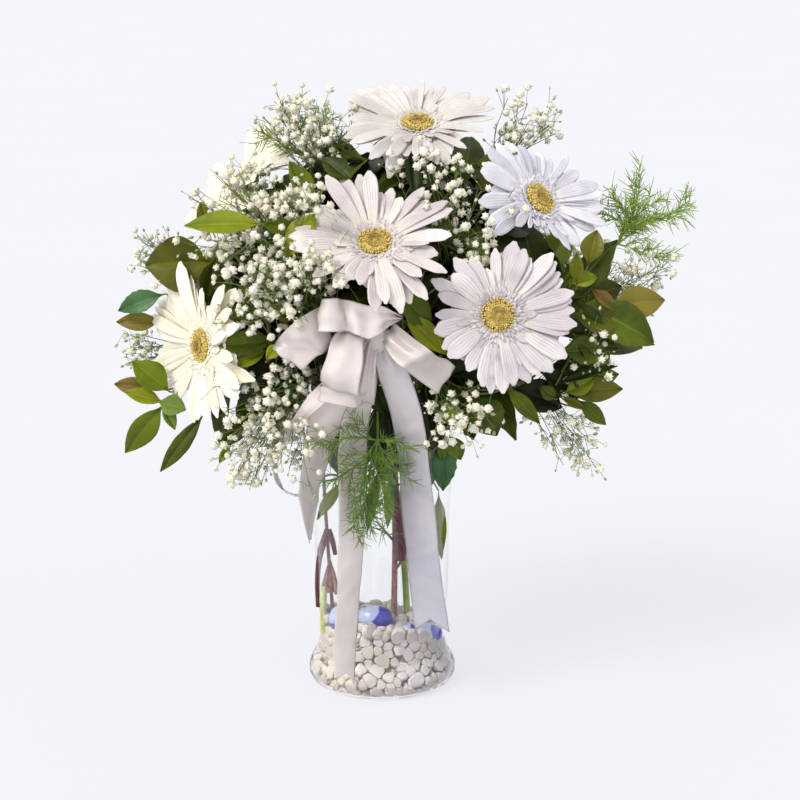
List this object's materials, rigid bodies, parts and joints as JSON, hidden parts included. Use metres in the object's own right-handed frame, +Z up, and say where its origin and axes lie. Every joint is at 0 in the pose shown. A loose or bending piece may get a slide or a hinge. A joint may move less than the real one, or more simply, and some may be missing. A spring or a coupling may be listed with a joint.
{
  "type": "flower arrangement in a vase",
  "caption": "Low round arrangement of gerberas, baby's breath, asparagus fern and broad leaves in a clear glass vase with pebbles in its foot and a satin ribbon bow.",
  "frame": {"origin": "centre of the vase's flat foot, on the table", "axes": "+Z up along the vase's axis; the side with the bow looks along -Y; +X to the right of that view"},
  "size_m": [0.4081, 0.2754, 0.4444],
  "materials": {
    "glass": "clear, polished",
    "pebble": "rough marble chips",
    "blue_stone": "polished",
    "petal": "soft petal",
    "disc": "fine stamens",
    "stem": "smooth green stem",
    "leaf": "glossy leaf",
    "fern": "fine needles",
    "floret": "small florets",
    "ribbon": "satin"
  },
  "bodies": {
    "root": {"babys_breath_back_left": "floret", "babys_breath_back_right": "floret", "babys_breath_by_tail": "floret", "babys_breath_far_left": "floret", "babys_breath_left_high": "floret", "babys_breath_left_middle": "floret", "babys_breath_left_tip": "floret", "babys_breath_lower_left": "floret", "babys_breath_lower_right": "floret", "babys_breath_middle_right": "floret", "babys_breath_right": "floret", "babys_breath_top_left": "floret", "babys_breath_top_right": "floret", "blue_stone_back": "blue_stone", "blue_stone_centre": "blue_stone", "blue_stone_left": "blue_stone", "blue_stone_right": "blue_stone", "blue_stone_small": "blue_stone", "fern_spray_front": "fern", "fern_spray_right": "fern", "fern_spray_top_left": "fern", "gerbera_back_disc": "disc", "gerbera_back_petals": "petal", "gerbera_back_stem": "stem", "gerbera_centre_disc": "disc", "gerbera_centre_petals": "petal", "gerbera_centre_stem": "stem", "gerbera_left_disc": "disc", "gerbera_left_petals": "petal", "gerbera_left_stem": "stem", "gerbera_right_disc": "disc", "gerbera_right_petals": "petal", "gerbera_right_stem": "stem", "gerbera_top_disc": "disc", "gerbera_top_petals": "petal", "gerbera_top_stem": "stem", "gerbera_upper_left_disc": "disc", "gerbera_upper_left_petals": "petal", "gerbera_upper_left_stem": "stem", "gerbera_upper_right_disc": "disc", "gerbera_upper_right_petals": "petal", "gerbera_upper_right_stem": "stem", "leafy_sprig_back": "leaf", "leafy_sprig_back_left": "leaf", "leafy_sprig_back_right": "leaf", "leafy_sprig_bow_right": "leaf", "leafy_sprig_hanging": "leaf", "leafy_sprig_left": "leaf", "leafy_sprig_lower_left": "leaf", "leafy_sprig_lower_right": "leaf", "leafy_sprig_mid_left": "leaf", "leafy_sprig_right": "leaf", "leafy_sprig_right_upper": "leaf", "leafy_sprig_top": "leaf", "leafy_sprig_upper_centre": "leaf", "leafy_sprig_upper_left": "leaf", "pebble_bed": "pebble", "ribbon_bow": "ribbon", "vase": "glass"}
  },
  "joints": []
}
